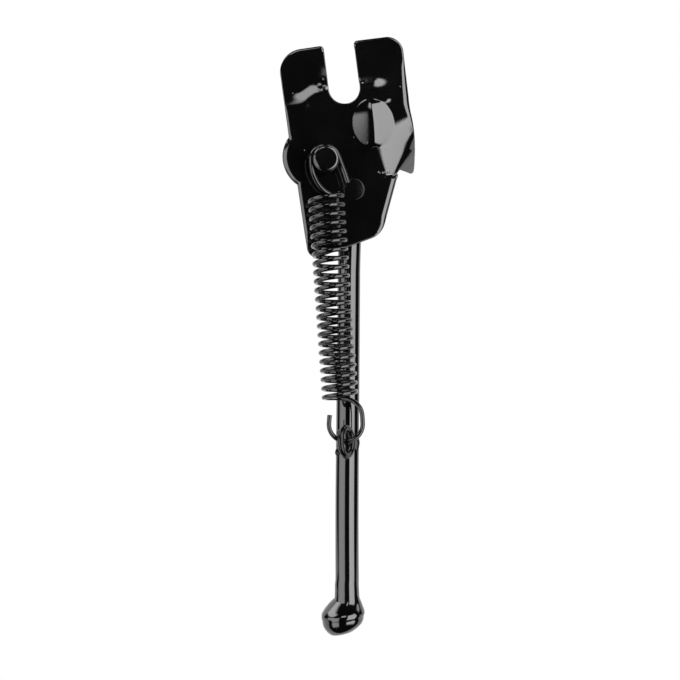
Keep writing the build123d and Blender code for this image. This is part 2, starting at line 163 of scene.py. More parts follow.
def makeFloor():
    side, near, far = studio["floorSide"], studio["floorFront"], studio["floorBack"]
    corners = [(-side, near, 0), (side, near, 0), (side, far, 0), (-side, far, 0)]
    mesh = bpy.data.meshes.new("floor")
    mesh.from_pydata(corners, [], [(0, 1, 2, 3)])
    floor = bpy.data.objects.new("floor", mesh)
    bpy.context.scene.collection.objects.link(floor)
    floor.location = (0, 0, studio["floorZ"] * mm)
    mat = bpy.data.materials.new("floorPaper")
    mat.use_nodes = True
    tree = mat.node_tree
    body = tree.nodes["Principled BSDF"]
    feed(tree, body, {"Base Color": (*studio["floorColor"], 1), "Roughness": studio["floorRough"]})
    glow = addNode(tree, "ShaderNodeEmission", 0, -300, {"Color": (1, 1, 1, 1)})
    path = addNode(tree, "ShaderNodeLightPath", -200, 300)
    rays = {0: path.outputs["Is Camera Ray"], 1: path.outputs["Is Glossy Ray"]}
    seen = addNode(tree, "ShaderNodeMath", 0, 300, rays, operation="MAXIMUM")
    glowing = {0: seen.outputs[0], 1: studio["floorGlow"]}
    share = addNode(tree, "ShaderNodeMath", 150, 300, glowing, operation="MULTIPLY")
    blend = addNode(tree, "ShaderNodeMixShader", 300, 0, {
        0: share.outputs[0], 1: body.outputs[0], 2: glow.outputs[0],
    })
    feed(tree, tree.nodes["Material Output"], {"Surface": blend.outputs[0]})
    floor.data.materials.append(mat)


makeWorld()
makeFloor()
print("studio ready")


enamel = {
    "color": (0.0018, 0.0018, 0.002),
    "ior": 1.8,
    "cloud": 90.0, "cloudDetail": 4, "shades": ((0.3, 0.7), (0.7, 1.3)),      # uneven tone, noise per metre
    "roughSpread": (0.75, 1.3),
    "dust": 420.0, "fleck": (0.2, 0.2, 0.2), "fleckSize": (0.05, 0.02),
    "peelSize": 1100.0, "peelDetail": 2, "peelDeep": 0.4,       # orange peel, noise per metre, millimetres
}


def makeEnamel(name, roughness, peel, specks, ior=enamel["ior"]):
    mat = bpy.data.materials.new(name)
    mat.use_nodes = True
    tree = mat.node_tree
    place = addNode(tree, "ShaderNodeTexCoord", -1200, 0).outputs["Object"]
    tone = addNode(tree, "ShaderNodeTexNoise", -900, 300, {
        "Vector": place, "Scale": enamel["cloud"], "Detail": enamel["cloudDetail"],
    }).outputs["Fac"]
    shade = addNode(tree, "ShaderNodeValToRGB", -650, 300, {0: tone})
    for k, (stop, share) in enumerate(enamel["shades"]):
        shade.color_ramp.elements[k].position = stop
        shade.color_ramp.elements[k].color = (*[c * share for c in enamel["color"]], 1)
    dust = addNode(tree, "ShaderNodeTexVoronoi", -900, 0, {"Vector": place, "Scale": enamel["dust"]})
    rim, core = enamel["fleckSize"]
    fleck = addNode(tree, "ShaderNodeMapRange", -650, 0, {
        "Value": dust.outputs["Distance"], "From Min": rim, "From Max": core,
    })
    single = addNode(tree, "ShaderNodeSeparateColor", -780, -180, {0: dust.outputs["Color"]})
    few = {0: single.outputs[0], 1: 1 - specks}
    some = addNode(tree, "ShaderNodeMath", -650, -180, few, operation="GREATER_THAN")
    both = {0: fleck.outputs[0], 1: some.outputs[0]}
    grains = addNode(tree, "ShaderNodeMath", -480, -80, both, operation="MULTIPLY")
    # a mix node takes its colours at 6 and 7 and gives its colour at 2
    paint = addNode(tree, "ShaderNodeMix", -250, 200, {
        0: grains.outputs[0], 6: shade.outputs["Color"], 7: (*enamel["fleck"], 1),
    }, data_type="RGBA")
    least, most = enamel["roughSpread"]
    rough = addNode(tree, "ShaderNodeMapRange", -450, -300, {
        "Value": tone, "To Min": roughness * least, "To Max": roughness * most,
    })
    peeled = addNode(tree, "ShaderNodeTexNoise", -900, -500, {
        "Vector": place, "Scale": enamel["peelSize"], "Detail": enamel["peelDetail"],
    })
    bump = addNode(tree, "ShaderNodeBump", -450, -500, {
        "Height": peeled.outputs["Fac"], "Strength": peel, "Distance": enamel["peelDeep"] * mm,
    })
    feed(tree, tree.nodes["Principled BSDF"], {
        "Base Color": paint.outputs[2], "Roughness": rough.outputs[0], "IOR": ior,
        "Normal": bump.outputs["Normal"],
    })
    return mat


zinc = {
    "color": (0.42, 0.43, 0.44), "dull": (0.22, 0.22, 0.21), "cloud": 260.0, "cloudDetail": 6,
    "roughness": (0.224, 0.448),
    "grain": 2600.0, "grainStrength": 0.15, "grainDeep": 0.2,
}


def makeZinc(name):
    mat = bpy.data.materials.new(name)
    mat.use_nodes = True
    tree = mat.node_tree
    place = addNode(tree, "ShaderNodeTexCoord", -1100, 0).outputs["Object"]
    cloud = addNode(tree, "ShaderNodeTexNoise", -850, 200, {
        "Vector": place, "Scale": zinc["cloud"], "Detail": zinc["cloudDetail"],
    }).outputs["Fac"]
    paint = addNode(tree, "ShaderNodeMix", -400, 250, {
        0: cloud, 6: (*zinc["color"], 1), 7: (*zinc["dull"], 1),
    }, data_type="RGBA")
    least, most = zinc["roughness"]
    rough = addNode(tree, "ShaderNodeMapRange", -400, 0, {"Value": cloud, "To Min": least, "To Max": most})
    grain = addNode(tree, "ShaderNodeTexNoise", -850, -250, {"Vector": place, "Scale": zinc["grain"]})
    bump = addNode(tree, "ShaderNodeBump", -400, -250, {
        "Height": grain.outputs["Fac"],
        "Strength": zinc["grainStrength"], "Distance": zinc["grainDeep"] * mm,
    })
    feed(tree, tree.nodes["Principled BSDF"], {
        "Base Color": paint.outputs[2], "Roughness": rough.outputs[0], "Metallic": 1,
        "Normal": bump.outputs["Normal"],
    })
    return mat


# roughness, strength of the orange peel, share of dust specks
plateMat = makeEnamel("plateEnamel", 0.07, 0.02, 0.03)
legMat = makeEnamel("legEnamel", 0.06, 0.02, 0.03)
wireMat = makeEnamel("wireEnamel", 0.07, 0.02, 0.02, ior=1.6)      # a thinner coat, so it shines less
eyeMat = makeEnamel("eyeEnamel", 0.15, 0.05, 0.04, ior=1.4)        # thinnest, over the weld's scale
studMat = makeEnamel("studEnamel", 0.09, 0.04, 0.03)
washerMat = makeZinc("washerZinc")
print("finishes mixed")


# u runs across the plate and v up it, from the slot's axle
plate = {
    "sheet": 3.0, "turn": 7.5,
    "left": -21.2, "leftTop": 15.2, "leftCorner": 8.5, "lowerLeft": -20.35,
    "lowest": (-19.9, -58.3), "lowestRound": 3.5, "lowRight": (6.8, -52.3), "lowRightRound": 8.0,
    "lobe": (-12.65, -22.76), "lobeRadius": 11.65, "lobeSteps": 30,
    "slot": ((-4.7, 15.9), (-5.35, -5.5), (5.6, -5.5), (5.95, 16.3)), "slotLip": 1.3,
    "slotRound": 0.99,    # share of a half circle at the slot's end
    "right": 23.15, "rightTop": 16.65, "rightCorner": 5.5,
    # bends down the right edge and round the ear, each with its radius
    "rightBends": ((22.5, -10.0, 40.0), (23.7, -21.5, 40.0), (23.2, -28.5, 20.0)),
    "earBends": ((22.7, -31.85, 1.5), (16.4, -30.3, 0.8), (15.1, -31.72, 0)),
    # the slit under the ear, from its end out to the lower plate's shoulder
    "apex": (11.2, -31.72), "slitEnd": (11.0, -31.82), "shoulder": (15.37, -31.9), "shoulderRound": 0.4,
    # the ear curls back about a line from curlFrom; curlStart and curlTightFrom in degrees, Most in radians
    "curlFrom": (11.7, -35.1), "curlStart": 105.0, "curl": 0.302, "curlMost": 2.2,
    "curlTight": 0.95, "curlTightFrom": 47.0, "curlTightMost": 0.37,
    "curlFade": (-25.0, -13.0), "curlSlant": (0.2, 15.0),
    "earHang": (16.0, 0.1),       # right of this u the ear hangs this far below its slit
    "lean": 6.0, "leanFrom": 1.6, "leanRun": 4.0,  # the prongs lean back, degrees
    "setBack": 1.0, "setBackRun": 6.0,            # the right prong steps back this far
    "webRun": 4.0,        # both prongs' steps die out towards the plate's middle
    "bead": (8.4, -13.6), "beadTilt": -1.8, "beadLong": 16.8, "beadWide": 13.5, "beadSlope": 0.37,
    "beadFoot": 0.03,     # how softly the bead's sides run out into the plate
    "beadCrest": 0.9,     # half width of the bead's rounded crest
    "beadLift": 0.8,      # share of the crest's rounding given back as height
    "rollEnd": 58.0,      # the press rolled the front edge over this far, degrees
    "taper": 0.5, "taperRun": 1.6,                # the sheared wall draws in towards the back
    "grid": 0.5, "sharp": 30.0,
}
turn = radians(plate["turn"])
across = Vector((cos(turn), 0, sin(turn)))
upward = Vector((-sin(turn), 0, cos(turn)))


def smooth(low, high, x):
    s = np.clip((x - low) / (high - low), 0, 1)
    return s * s * (3 - 2 * s)


def roundedLoop(corners, step, arcStep=0.7, leastParts=4, closest=0.2):
    # corners are (u, v, radius); straight runs are cut into even steps
    # arcStep and closest are shares of step
    loop = []
    count = len(corners)
    for i in range(count):
        here = Vector(corners[i][:2])
        before = Vector(corners[i - 1][:2])
        after = Vector(corners[(i + 1) % count][:2])
        radius = corners[i][2]
        a = (before - here).normalized()
        b = (after - here).normalized()
        if radius > 0:
            half = a.angle(b) / 2
            reach = radius / tan(half)
            middle = here + (a + b).normalized() * (radius / sin(half))
            start = here + a * reach - middle
            sweep = start.angle_signed(here + b * reach - middle)
            parts = max(leastParts, int(abs(sweep) * radius / (step * arcStep)))
            for k in range(parts + 1):
                spoke = start.copy()
                spoke.rotate(Matrix.Rotation(-sweep * k / parts, 2))
                loop.append(middle + spoke)
        else:
            loop.append(here)
    cut = []
    for i, here in enumerate(loop):
        after = loop[(i + 1) % len(loop)]
        parts = max(1, round((after - here).length / step))
        for k in range(parts):
            cut.append(here.lerp(after, k / parts))
    clean = [cut[0]]
    for point in cut[1:]:
        if (point - clean[-1]).length > step * closest:
            clean.append(point)
    return clean


def plateLoop():
    lobeU, lobeV = plate["lobe"]
    r = plate["lobeRadius"]
    low = 2 * pi - acos((plate["lowerLeft"] - lobeU) / r)
    high = acos((plate["left"] - lobeU) / r)
    angles = np.linspace(low, high, plate["lobeSteps"] + 1)
    arc = [(lobeU + r * cos(a), lobeV + r * sin(a), 0) for a in angles]
    slot, slotLip = plate["slot"], plate["slotLip"]
    slotRound = (slot[2][0] - slot[1][0]) / 2 * plate["slotRound"]
    corners = [
        (*slot[0], slotLip), (*slot[1], slotRound), (*slot[2], slotRound), (*slot[3], slotLip),
        (plate["right"], plate["rightTop"], plate["rightCorner"]), *plate["rightBends"], *plate["earBends"],
        (*plate["apex"], 0), (*plate["slitEnd"], 0), (*plate["shoulder"], plate["shoulderRound"]),
        (*plate["lowRight"], plate["lowRightRound"]), (*plate["lowest"], plate["lowestRound"]),
        *arc, (plate["left"], plate["leftTop"], plate["leftCorner"]),
    ]
    return roundedLoop(corners, plate["grid"])


dents = {
    # step across the left prong: middle, tilt, half height, more of it away from the middle, depth
    "thumb": (-12.7, -0.25), "thumbTilt": 27.0, "thumbHalf": 2.7, "thumbMore": 5.5, "thumbFrom": 2.0,
    "thumbRun": 7.0, "thumbDeep": 1.35,
    # soft lumps on the prongs: place, run to the right, half height, height
    "bosses": ((10.4, 0.6, 3.2, 1.4, 0.6), (-14.9, -4.6, 2.0, 1.5, 0.16)),
    "crease": ((9.4, -7.0), (16.2, -5.8), 0.5, 0.22),           # from, to, half width, height
    "creaseEnds": (1.0, 2.0),                                   # how far its two ends take to die out
    "ring": (-8.1, 1.65, 1.2, 0.1, 0.35),                       # press pin's mark: place, radius, depth, run
    "bulges": ((-6.4, 0.7, 0.9, 0.28), (6.5, 1.2, 0.6, 0.2)),   # beside the slot: place, size, height
    "shear": ((8.0, -30.7), (12.6, -31.0), 7),                  # torn burrs at the end of the ear's slit
    "burrStray": (0.6, 0.25), "burrSize": (0.22, 0.4), "burrHeight": (0.08, 0.2),
    "pips": 16, "pipSize": (0.22, 0.42), "pipHeight": 0.22, "seed": 7,            # dust caught in the paint
    "pipArea": ((-18, -54), (20, 12)),
    "pipFall": 0.6,       # a pip's fall-off as a share of its size
}


def makePips():
    # (u, v, size, height) of every small bump
    dice = np.random.default_rng(dents["seed"])
    spread = dice.uniform(*dents["pipArea"], (dents["pips"], 2))
    sizes = dice.uniform(*dents["pipSize"], dents["pips"])
    found = list(dents["bulges"])
    found += [(u, v, size, size * dents["pipHeight"]) for (u, v), size in zip(spread, sizes)]
    shearFrom, shearTo, burrs = dents["shear"]
    strayAlong, strayAside = dents["burrStray"]
    for k in range(burrs):
        share = (k + strayAlong * dice.random()) / burrs
        u, v = (a + (b - a) * share for a, b in zip(shearFrom, shearTo))
        v += dice.uniform(-strayAside, strayAside)
        found.append((u, v, dice.uniform(*dents["burrSize"]), dice.uniform(*dents["burrHeight"])))
    return found


pips = makePips()


def turned(u, v, place, degrees):
    # the same points from another middle, along axes turned by some degrees
    c, s = cos(radians(degrees)), sin(radians(degrees))
    du, dv = u - place[0], v - place[1]
    return du * c + dv * s, dv * c - du * s


def earCurl(u, v):
    du, dv = u - plate["curlFrom"][0], v - plate["curlFrom"][1]
    bend = np.clip(radians(plate["curlStart"]) - np.arctan2(dv, du), 0, plate["curlMost"])
    slit = (plate["apex"][1] + plate["shoulder"][1]) / 2
    hangFrom, hang = plate["earHang"]
    bend = np.where(v < slit - hang * (u > hangFrom), 0, bend)  # nothing curls below the slit
    tight = np.clip(bend - radians(plate["curlTightFrom"]), 0, None)
    slant, slantFrom = plate["curlSlant"]
    fade = 1 - smooth(*plate["curlFade"], v - slant * (u - slantFrom))
    back = plate["curl"] * bend ** 2 + plate["curlTight"] * np.minimum(tight, plate["curlTightMost"]) * tight
    return np.hypot(du, dv) * back * fade


def prongLean(v):
    run = plate["leanRun"]
    rise = np.clip(v - plate["leanFrom"], 0, None)
    return tan(radians(plate["lean"])) * np.where(rise < run, rise ** 2 / (2 * run), rise - run / 2)


def prongStep(u, v):
    # tilted and pinched on the left prong, level and gentle on the right one
    along, above = turned(u, v, dents["thumb"], dents["thumbTilt"])
    near, run = dents["thumbFrom"], dents["thumbRun"]
    tall = dents["thumbHalf"] + dents["thumbMore"] * smooth(near, near + run, np.abs(along))
    left = dents["thumbDeep"] * smooth(-1, 1, above / tall)
    right = plate["setBack"] * smooth(-plate["setBackRun"], plate["setBackRun"], v)
    return np.where(u < 0, left, right) * smooth(0, plate["webRun"], np.abs(u))


def prongBoss(u, v, pu, pv, run, tall, high):
    lump = high * np.exp(-(np.maximum(u - pu, 0) / run) ** 2 - ((v - pv) / tall) ** 2)
    return np.where(u * pu > 0, lump, 0)          # only on its own prong


def beadRise(u, v):
    # a roof with a rounded crest, its eaves on an oval
    q, p = turned(u, v, plate["bead"], plate["beadTilt"])
    halfL, halfW, crest = plate["beadLong"] / 2, plate["beadWide"] / 2, plate["beadCrest"]
    reach = halfW * np.sqrt(np.clip(1 - (p / halfL) ** 2, 0, None))
    roof = plate["beadSlope"] * (reach - np.sqrt(q * q + crest ** 2) + crest * plate["beadLift"])
    return 0.5 * (roof + np.sqrt(roof * roof + plate["beadFoot"] ** 2))


def creaseRise(u, v):
    (au, av), (bu, bv), wide, high = dents["crease"]
    size = hypot(bu - au, bv - av)
    along = ((u - au) * (bu - au) + (v - av) * (bv - av)) / size
    off = ((v - av) * (bu - au) - (u - au) * (bv - av)) / size
    startRun, endRun = dents["creaseEnds"]
    return high * np.exp(-(off / wide) ** 2) * smooth(0, startRun, along) * smooth(0, endRun, size - along)


def pressedHeight(u, v):
    # front face above the flat back, before the edges are rolled
    h = plate["sheet"] - earCurl(u, v) - prongLean(v) - prongStep(u, v) + beadRise(u, v) + creaseRise(u, v)
    for boss in dents["bosses"]:
        h += prongBoss(u, v, *boss)
    ru, rv, ringR, deep, wide = dents["ring"]
    h -= deep * np.exp(-((np.hypot(u - ru, v - rv) - ringR) / wide) ** 2)
    for pu, pv, size, high in pips:
        h += high * np.exp(-((u - pu) ** 2 + (v - pv) ** 2) / (size * dents["pipFall"]) ** 2)
    return h


# how wide the press rolled the front edge, against height up the plate
rolled = {
    "left": ((-36, -31, -16, -14, -6, -3), (1.5, 2.1, 2.1, 1.1, 0.9, 0.4)),
    "right": ((-17, -13, -8, -2, 5, 8), (0.4, 1.4, 2.2, 2.0, 1.4, 0.6)),
    "lowerLeft": ((-54, -48), (0.4, 1.5)),
    "lowerRight": ((-52.5, -50, -46), (0.4, 1.2, 1.9)),
    "lowerFrom": -31.7, "lowerMiddle": -8.0,
    "slit": 0.35, "slitBox": (9.5, 16.5, -33.5, -29.0), "shoulder": 0.6, "shoulderRun": (0.6, 2.2),
    "earLow": 0.5, "earLowFrom": (16.5, -28.0),
    "slot": 0.3, "slotBox": (8.0, -8.0), "top": 0.8, "topFrom": 14.0,
}


def edgeRadius(u, v):
    left, right, lowerLeft, lowerRight = (
        np.interp(v, *rolled[part]) for part in ("left", "right", "lowerLeft", "lowerRight")
    )
    lower = v < rolled["lowerFrom"]
    lowerBoth = np.where(u > rolled["lowerMiddle"], lowerRight, lowerLeft)
    r = np.where(lower, lowerBoth, np.where(u > 0, right, left))
    lowU, highU, lowV, highV = rolled["slitBox"]
    fromShoulder = np.hypot(u - plate["shoulder"][0], v - plate["shoulder"][1])
    slit = rolled["slit"] + rolled["shoulder"] * smooth(*rolled["shoulderRun"], fromShoulder) * lower
    r = np.where((u > lowU) & (u < highU) & (v > lowV) & (v < highV), slit, r)
    r = np.where((u >= rolled["earLowFrom"][0]) & (v < rolled["earLowFrom"][1]), rolled["earLow"], r)
    slotHalf, slotLow = rolled["slotBox"]
    r = np.where((np.abs(u) < slotHalf) & (v > slotLow), rolled["slot"], r)
    return np.where(v > rolled["topFrom"], rolled["top"], r)


def nearestEdge(points, edge):
    # distance to the outline, and the inward way there
    after = np.roll(edge, -1, axis=0)
    along = after - np.roll(edge, 1, axis=0)
    along /= np.linalg.norm(along, axis=1)[:, None]
    inward = np.stack([along[:, 1], -along[:, 0]], 1)           # the outline runs clockwise
    near = np.full(len(points), np.inf)
    way = np.zeros_like(points)
    for i in range(len(edge)):
        d = after[i] - edge[i]
        w = points - edge[i]
        k = np.clip((w @ d) / (d @ d), 0, 1)
        gap = np.hypot(w[:, 0] - k * d[0], w[:, 1] - k * d[1])
        closer = gap < near
        near[closer] = gap[closer]
        mixed = inward[i] + (inward[(i + 1) % len(edge)] - inward[i]) * k[:, None]
        way[closer] = mixed[closer]
    return near, way / np.linalg.norm(way, axis=1)[:, None]


def insideLoop(points, edge):
    after = np.roll(edge, -1, axis=0)
    inside = np.zeros(len(points), bool)
    for a, b in zip(edge, after):
        if a[1] != b[1]:
            hit = (a[1] > points[:, 1]) != (b[1] > points[:, 1])
            inside ^= hit & (points[:, 0] < (b[0] - a[0]) * (points[:, 1] - a[1]) / (b[1] - a[1]) + a[0])
    return inside


def placeMesh(mesh, mat, body):
    mesh.shade_smooth()
    mesh.materials.append(mat)
    obj = bpy.data.objects.new(mesh.name, mesh)
    bpy.context.scene.collection.objects.link(obj)
    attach(obj, body)
    return obj


def linkMesh(name, verts, faces, mat, body):
    mesh = bpy.data.meshes.new(name)
    mesh.from_pydata(verts, [], faces)
    mesh.update()
    return placeMesh(mesh, mat, body)


def softEdges(obj, width, segments=3):
    soft = obj.modifiers.new("edge", "BEVEL")
    soft.width = width * mm
    soft.segments = segments
    soft.limit_method = "ANGLE"


def onPlate(u, v, h):
    return (across * u + upward * v + Vector((0, -h, 0))) * mm


# points of the plate's mesh; rows are shares of the rolled edge's width, rings are shares of a pip's size
net = {
    "rollRows": (0.06, 0.14, 0.24, 0.36, 0.5, 0.65, 0.82, 1.0), "rollKeep": 0.96,
    "fieldLow": (-24.5, -58.5), "fieldHigh": (23.5, 16.8), "fieldGap": 0.2,
    "pipRings": (0.35, 0.7, 1.1), "pipSpokes": 8, "pipGap": 0.3, "merge": 1e-5,
}


def platePoints(edge):
    # the outline, rows along the rolled edge, an even field inside them, and rings round each pip
    inward = nearestEdge(edge, edge)[1]
    wide = edgeRadius(edge[:, 0], edge[:, 1])
    rows = [edge]
    for share in net["rollRows"]:
        row = edge + inward * (wide * share)[:, None]
        keep = insideLoop(row, edge) & (nearestEdge(row, edge)[0] > wide * share * net["rollKeep"])
        rows.append(row[keep])
    step = plate["grid"]
    (lowU, lowV), (highU, highV) = net["fieldLow"], net["fieldHigh"]
    field = np.array([
        (u + (0.5 * step if k % 2 else 0), v)
        for k, v in enumerate(np.arange(lowV, highV, step)) for u in np.arange(lowU, highU, step)
    ])
    clear = edgeRadius(field[:, 0], field[:, 1]) + net["fieldGap"]
    rows.append(field[insideLoop(field, edge) & (nearestEdge(field, edge)[0] > clear)])
    spokes = np.linspace(0, 2 * pi, net["pipSpokes"] + 1)[:-1]
    fine = [(pu, pv) for pu, pv, size, high in pips]
    fine += [
        (pu + size * r * cos(a), pv + size * r * sin(a))
        for pu, pv, size, high in pips for r in net["pipRings"] for a in spokes
    ]
    fine = np.array(fine)
    rows.append(fine[insideLoop(fine, edge) & (nearestEdge(fine, edge)[0] > net["pipGap"])])
    return [Vector((float(x), float(y))) for x, y in np.concatenate(rows)]


def makePlate():
    edge = np.array([(c.x, c.y) for c in plateLoop()])
    rim = [(i, (i + 1) % len(edge)) for i in range(len(edge))]
    made = delaunay_2d_cdt(platePoints(edge), rim, [], 0, net["merge"])
    spots = np.array([(c.x, c.y) for c in made[0]])
    tris = np.array([f for f in made[2] if len(f) == 3])
    tris = tris[insideLoop(spots[tris].mean(1), edge)]
    pressed = pressedHeight(spots[:, 0], spots[:, 1])
    near, inward = nearestEdge(spots, edge)
    wide = edgeRadius(spots[:, 0], spots[:, 1])
    ball = wide / sin(radians(plate["rollEnd"]))
    short = wide - np.clip(near, 0, wide)
    rolledFront = pressed - (ball - np.sqrt(ball ** 2 - short ** 2))
    drawn = spots + inward * (plate["taper"] * np.clip(1 - near / plate["taperRun"], 0, 1))[:, None]
    verts = [onPlate(u, v, h) for (u, v), h in zip(spots, rolledFront)]
    verts += [onPlate(u, v, h) for (u, v), h in zip(drawn, pressed - plate["sheet"])]
    count = len(spots)
    faces = [tuple(f) for f in tris.tolist()]
    faces += [(a + count, c + count, b + count) for a, b, c in tris.tolist()]
    rimEdges = {}
    for a, b, c in tris.tolist():
        for pair in ((a, b), (b, c), (c, a)):
            key = tuple(sorted(pair))
            rimEdges[key] = None if key in rimEdges else pair
    faces += [(b, a, a + count, b + count) for a, b in filter(None, rimEdges.values())]
    obj = linkMesh("pressed_plate", verts, faces, plateMat, "bracket")
    obj.data.set_sharp_from_angle(angle=radians(plate["sharp"]))
    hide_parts("bracket_plate")


leg = {
    "lean": 1.8, "depth": 4.6, "rod": 4.0,
    "start": 12.0, "bendFrom": 22.0, "bendRadius": 45.0, "splay": 10.0, "shank": 117.0, "footAbove": 11.5,
    "sway": 0.3, "swayFrom": 70.0,        # the rod is a little bent above its foot
    "head": 7.2, "hole": 3.05, "headFrom": 1.1, "headTo": 6.1, "neck": 15.0,
    "crease": 4.3,        # radius where the rod ends and the foot's shoulder begins
    "sides": 96, "sharp": 30.0, "headSharp": 35.0, "headEdge": 0.5,
    "endSteps": 8, "startSteps": 4, "bendSteps": 12, "shankSteps": 40, "headSteps": 40, "neckSteps": 16,
    # foot: height, middle's x, radius, the ring's tilt to the right and to the front
    "foot": (
        (-170.7, -0.36, 4.08, 0.5, -10), (-172.6, -0.36, 4.12, 1.5, -3), (-174.2, -0.38, 4.18, 3.0, 6),
        (-175.2, -0.42, 4.24, 4.5, 12), (-176.6, -1.05, 5.4, 5.2, 9), (-178.1, -1.6, 6.45, 5.9, 5),
        (-179.4, -1.88, 7.18, 6.4, 1.5), (-179.9, -1.86, 7.3, 6.5, 0.5), (-180.3, -1.86, 7.38, 6.5, 0),
        (-180.9, -1.85, 7.38, 7.0, 0), (-181.35, -1.85, 7.28, 7.5, 0), (-181.65, -1.85, 7.16, 7.7, 0),
        (-182.2, -1.85, 7.1, 8.0, 0), (-183.2, -1.8, 6.95, 9.0, 0), (-184.3, -1.75, 6.45, 10.0, 0),
        (-185.4, -1.85, 5.5, 11.0, 0), (-186.4, -2.0, 4.3, 12.0, 0), (-186.45, -2.0, 4.0, 12.0, 0),
        (-186.45, -2.0, 0.5, 12.0, 0),
    ),
}
lean = radians(leg["lean"])
legDown = Vector((-sin(lean), 0, -cos(lean)))
legRight = Vector((cos(lean), 0, -sin(lean)))
front = Vector((0, -1, 0))
splay = radians(leg["splay"])
shankDown = legDown * cos(splay) + front * sin(splay)
shankFront = front * cos(splay) - legDown * sin(splay)
legTop = Vector((pivot.x, leg["depth"], pivot.z))


lip = {"bend": 3.6, "depth": 8.0, "length": 9.0, "clear": 4.3, "sunk": 0.15, "edge": 0.4, "sharp": 35.0,
       "steps": (10, 5)}


def makeLip():
    # stop lip, folded back beside the standing leg
    low, right = Vector(plate["lowest"]), Vector(plate["lowRight"])
    along = (low - right).normalized()
    out = Vector((-along.y, along.x))
    down = Vector((legDown.dot(across), legDown.dot(upward)))
    pin = Vector((pivot.dot(across), pivot.dot(upward)))
    start = pin + down * ((right - pin).dot(out) / down.dot(out))
    bend, sheet = lip["bend"], plate["sheet"]
    tight = bend - sheet
    wideArc, tightArc = (np.linspace(0, pi / 2, parts + 1) for parts in lip["steps"])
    outer = [(-bend + bend * sin(a), sheet - bend + bend * cos(a)) for a in wideArc]
    inner = [(-bend + tight * sin(a), tight * cos(a) - tight) for a in tightArc]
    section = outer + [(0, sheet - lip["depth"]), (-sheet, sheet - lip["depth"])] + inner[::-1]
    nearRun = lip["clear"] / down.dot(out)
    verts = []
    for run in (nearRun, lip["clear"] + lip["length"]):
        for e, h in section:
            place = start + along * run + out * (e - lip["sunk"])
            verts.append(onPlate(place.x, place.y, h))
    n = len(section)
    faces = [tuple(range(n)), tuple(range(2 * n - 1, n - 1, -1))]
    faces += [(i, i + n, (i + 1) % n + n, (i + 1) % n) for i in range(n)]
    obj = linkMesh("stop_lip", verts, faces, plateMat, "bracket")
    obj.data.set_sharp_from_angle(angle=radians(lip["sharp"]))
    softEdges(obj, lip["edge"])


makePlate()
makeLip()
print("plate pressed")


def onLeg(down, out):
    return legTop + legDown * down + front * out


bendLow = onLeg(leg["bendFrom"] + leg["bendRadius"] * sin(splay), leg["bendRadius"] * (1 - cos(splay)))


def rodPath():
    # (point, direction) down the rod, to just above the foot's flare
    start, bendFrom, r = leg["start"], leg["bendFrom"], leg["bendRadius"]
    parts = leg["startSteps"]
    path = [(onLeg(start + (bendFrom - start) * k / parts, 0), legDown) for k in range(parts)]
    parts = leg["bendSteps"]
    for k in range(parts + 1):
        a = splay * k / parts
        path.append((onLeg(bendFrom + r * sin(a), r - r * cos(a)), legDown * cos(a) + front * sin(a)))
    reach = leg["shank"] - leg["footAbove"]
    parts = leg["shankSteps"]
    for k in range(1, parts + 1):
        run = reach * k / parts
        sway = leg["sway"] * max(0, (run - leg["swayFrom"]) / (reach - leg["swayFrom"])) ** 2
        path.append((bendLow + shankDown * run + legRight * sway, shankDown))
    return path


def ringPoints(middle, normal, radius, count):
    x = (Vector((1, 0, 0)) - normal * normal.x).normalized()
    y = normal.cross(x)
    angles = [2 * pi * k / count for k in range(count)]
    return [middle + (x * cos(a) + y * sin(a)) * radius for a in angles]


def skin(rows, count):
    faces = []
    for j in range(len(rows) - 1):
        for k in range(count):
            n = (k + 1) % count
            faces.append((j * count + k, j * count + n, (j + 1) * count + n, (j + 1) * count + k))
    return faces


def footRing(z, x, radius, tilt, dip):
    axisY = bendLow.y + (z - bendLow.z) * shankDown.y / shankDown.z
    rimY = (bendLow + shankDown * leg["shank"]).y
    middle = Vector((x, max(axisY, rimY), z))
    tilt, dip = radians(tilt), radians(dip)
    normal = Vector((sin(tilt), sin(dip), -cos(tilt) * cos(dip))).normalized()
    if radius >= leg["crease"]:
        return ringPoints(middle, normal, radius, leg["sides"])
    # still rod: the slanted ring stays on its skin
    ring = ringPoints(middle, shankDown, radius, leg["sides"])
    return [p - shankDown * ((p - middle).dot(normal) / shankDown.dot(normal)) for p in ring]


def makeLeg():
    count = leg["sides"]
    path = rodPath()
    rod = leg["rod"]
    rows = []
    steps = leg["endSteps"]
    for k in range(1, steps + 1):         # round top end
        a = radians(90 * k / steps)
        rows.append(ringPoints(path[0][0] - legDown * rod * cos(a), legDown, rod * sin(a), count))
    rows += [ringPoints(middle, way, rod, count) for middle, way in path[1:]]
    rows += [footRing(*ring) for ring in leg["foot"]]
    verts = [p * mm for row in rows for p in row]
    faces = skin(rows, count)
    faces.append(tuple(range(count - 1, -1, -1)))
    faces.append(tuple(range(len(verts) - count, len(verts))))
    obj = linkMesh("leg_rod", verts, faces, legMat, "leg")
    obj.data.set_sharp_from_angle(angle=radians(leg["sharp"]))
    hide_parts("leg")


